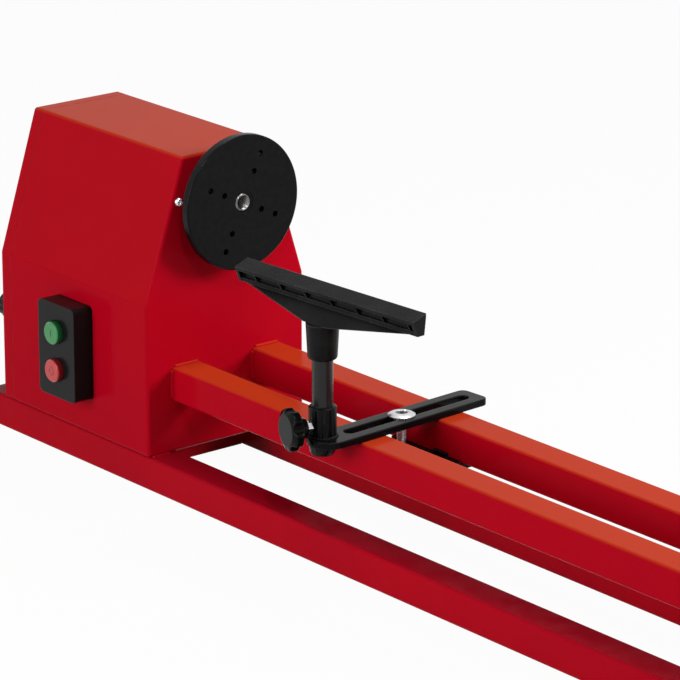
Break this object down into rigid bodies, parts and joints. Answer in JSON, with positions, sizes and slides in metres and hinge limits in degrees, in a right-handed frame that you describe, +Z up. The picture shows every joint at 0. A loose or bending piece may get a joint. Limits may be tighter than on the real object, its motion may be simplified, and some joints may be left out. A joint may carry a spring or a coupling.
{
  "type": "wood lathe",
  "caption": "Bench wood lathe with a folded headstock on square tubes, a faceplate, an adjustable tool rest and a sliding tailstock with a live centre.",
  "frame": {"origin": "on the bench, at the centre of the four bench bolt holes", "axes": "+X along the spindle from the headstock to the tailstock, +Y away from the operator, +Z up"},
  "size_m": [1.436, 0.2155, 0.3045],
  "materials": {
    "red_paint": "gloss",
    "black_paint": "satin",
    "cast_black": "satin black paint",
    "black_plastic": "moulded",
    "zinc": "zinc plated",
    "bright_steel": "ground",
    "pulley_alloy": "machined",
    "belt_rubber": "moulded",
    "start_green": "gloss",
    "stop_red": "gloss"
  },
  "bodies": {
    "frame": {"base_rail_front": "red_paint", "base_rail_rear": "red_paint", "cross_tube_left": "red_paint", "cross_tube_middle": "red_paint", "cross_tube_right": "red_paint", "bed_rail_front": "red_paint", "bed_rail_rear": "red_paint", "end_stand": "red_paint", "tube_end_caps": "black_plastic", "headstock_casing": "red_paint", "inner_wall": "black_paint", "front_bearing_housing": "cast_black", "rear_bearing_housing": "cast_black", "bearing_outer_rings": "bright_steel", "bearing_seals": "black_plastic", "bearing_screws": "zinc", "drive_belt": "belt_rubber", "hinge_casing_leaf": "black_paint", "hinge_pin": "zinc", "door_tab": "black_paint", "switch_box": "black_plastic", "cord_gland": "black_plastic"},
    "spindle": {"spindle": "bright_steel", "spindle_pulley": "pulley_alloy", "bearing_inner_rings": "bright_steel", "face_plate": "cast_black"},
    "motor": {"motor_plate": "black_paint", "motor_body": "black_paint", "motor_end_shields": "cast_black", "motor_bolts": "zinc"},
    "motor_rotor": {"motor_shaft": "bright_steel", "motor_pulley": "pulley_alloy"},
    "belt_door": {"belt_door": "red_paint", "hinge_door_leaf": "black_paint"},
    "door_knob": {"door_knob": "black_plastic"},
    "start_button": {"start_button": "start_green"},
    "stop_button": {"stop_button": "stop_red"},
    "rest_clamp": {"rest_clamp_plate": "black_paint"},
    "rest_bolt": {"carriage_bolt": "zinc"},
    "rest_arm": {"rest_arm": "black_paint", "post_sleeve": "black_paint", "knob_nut": "zinc"},
    "rest_clamp_lever": {"rest_clamp_lever": "black_paint"},
    "rest_post": {"rest_post": "black_paint"},
    "tool_rest": {"tool_rest": "cast_black"},
    "rest_knob": {"rest_knob": "black_plastic", "knob_screw": "zinc"},
    "tailstock": {"tailstock_body": "red_paint", "tailstock_end_cap": "red_paint", "tailstock_bolt": "zinc", "tailstock_clamp_plate": "black_paint"},
    "tailstock_clamp_lever": {"tailstock_clamp_lever": "black_paint"},
    "quill": {"quill": "bright_steel", "centre_body": "bright_steel"},
    "centre_point": {"centre_point": "bright_steel"},
    "handwheel": {"handwheel": "cast_black", "quill_screw": "bright_steel", "handwheel_grip_pin": "bright_steel"},
    "handwheel_grip": {"handwheel_grip": "black_plastic"},
    "quill_lock": {"quill_lock_lever": "black_paint"}
  },
  "joints": [
    {"name": "spindle_spin", "type": "hinge", "parent": "frame", "child": "spindle", "pos_m": [-0.475, 0, 0.246], "axis": [1, 0, 0], "continuous": true},
    {"name": "motor_lift", "type": "slide", "parent": "frame", "child": "motor", "axis": [0, 0, 1], "range_m": [0, 0.006]},
    {"name": "motor_spin", "type": "hinge", "parent": "motor", "child": "motor_rotor", "pos_m": [-0.475, 0, 0.111], "axis": [1, 0, 0], "continuous": true},
    {"name": "belt_door_swing", "type": "hinge", "parent": "frame", "child": "belt_door", "pos_m": [-0.6754, 0.0892, 0.07], "axis": [0, 0, -1], "range_deg": [0, 110]},
    {"name": "door_knob_turn", "type": "hinge", "parent": "belt_door", "child": "door_knob", "pos_m": [-0.6894, -0.068, 0.11], "axis": [1, 0, 0], "continuous": true},
    {"name": "start_press", "type": "slide", "parent": "frame", "child": "start_button", "axis": [0, 1, 0], "range_m": [0, 0.003], "stiffness_N_per_m": 500, "springref_m": -0.002},
    {"name": "stop_press", "type": "slide", "parent": "frame", "child": "stop_button", "axis": [0, 1, 0], "range_m": [0, 0.003], "stiffness_N_per_m": 500, "springref_m": -0.002},
    {"name": "rest_carriage_slide", "type": "slide", "parent": "frame", "child": "rest_clamp", "axis": [1, 0, 0], "range_m": [-0.09, 0.46]},
    {"name": "rest_arm_swivel", "type": "hinge", "parent": "rest_clamp", "child": "rest_bolt", "pos_m": [-0.242, 0, 0.106], "axis": [0, 0, 1], "range_deg": [-20, 20]},
    {"name": "rest_arm_reach", "type": "slide", "parent": "rest_bolt", "child": "rest_arm", "axis": [-0.0593, 0.9982, 0], "range_m": [-0.064, 0.003]},
    {"name": "rest_lever_turn", "type": "hinge", "parent": "rest_bolt", "child": "rest_clamp_lever", "pos_m": [-0.242, 0, 0.076], "axis": [0, 0, 1], "range_deg": [-90, 30]},
    {"name": "rest_post_height", "type": "slide", "parent": "rest_arm", "child": "rest_post", "axis": [0, 0, 1], "range_m": [-0.035, 0.018]},
    {"name": "tool_rest_turn", "type": "hinge", "parent": "rest_post", "child": "tool_rest", "pos_m": [-0.24444, -0.08039, 0.207], "axis": [0, 0, 1], "range_deg": [-80, 80]},
    {"name": "rest_knob_turn", "type": "hinge", "parent": "rest_arm", "child": "rest_knob", "pos_m": [-0.24444, -0.08039, 0.121], "axis": [-0.225, -0.9744, 0], "range_deg": [-360, 0]},
    {"name": "tailstock_slide", "type": "slide", "parent": "frame", "child": "tailstock", "axis": [1, 0, 0], "range_m": [-0.58, 0.018]},
    {"name": "tailstock_lever_turn", "type": "hinge", "parent": "tailstock", "child": "tailstock_clamp_lever", "pos_m": [0.498, 0, 0.076], "axis": [0, 0, 1], "range_deg": [-90, 30]},
    {"name": "quill_feed", "type": "slide", "parent": "tailstock", "child": "quill", "axis": [-1, 0, 0], "range_m": [0, 0.055]},
    {"name": "centre_spin", "type": "hinge", "parent": "quill", "child": "centre_point", "pos_m": [0.386, 0, 0.246], "axis": [1, 0, 0], "continuous": true},
    {"name": "handwheel_turn", "type": "hinge", "parent": "tailstock", "child": "handwheel", "pos_m": [0.529, 0, 0.246], "axis": [-1, 0, 0], "range_deg": [0, 6480]},
    {"name": "grip_spin", "type": "hinge", "parent": "handwheel", "child": "handwheel_grip", "pos_m": [0.54917, 0, 0.294], "axis": [1, 0, 0], "continuous": true},
    {"name": "quill_lock_turn", "type": "hinge", "parent": "tailstock", "child": "quill_lock", "pos_m": [0.422, 0, 0.272], "axis": [0, 0, 1], "range_deg": [-60, 60]}
  ],
  "couplings": [
    {"joint": "motor_spin", "follows": "spindle_spin", "ratio": 1.1277},
    {"joint": "quill_feed", "follows": "handwheel_turn", "m_per_rad": 0.00047746}
  ]
}
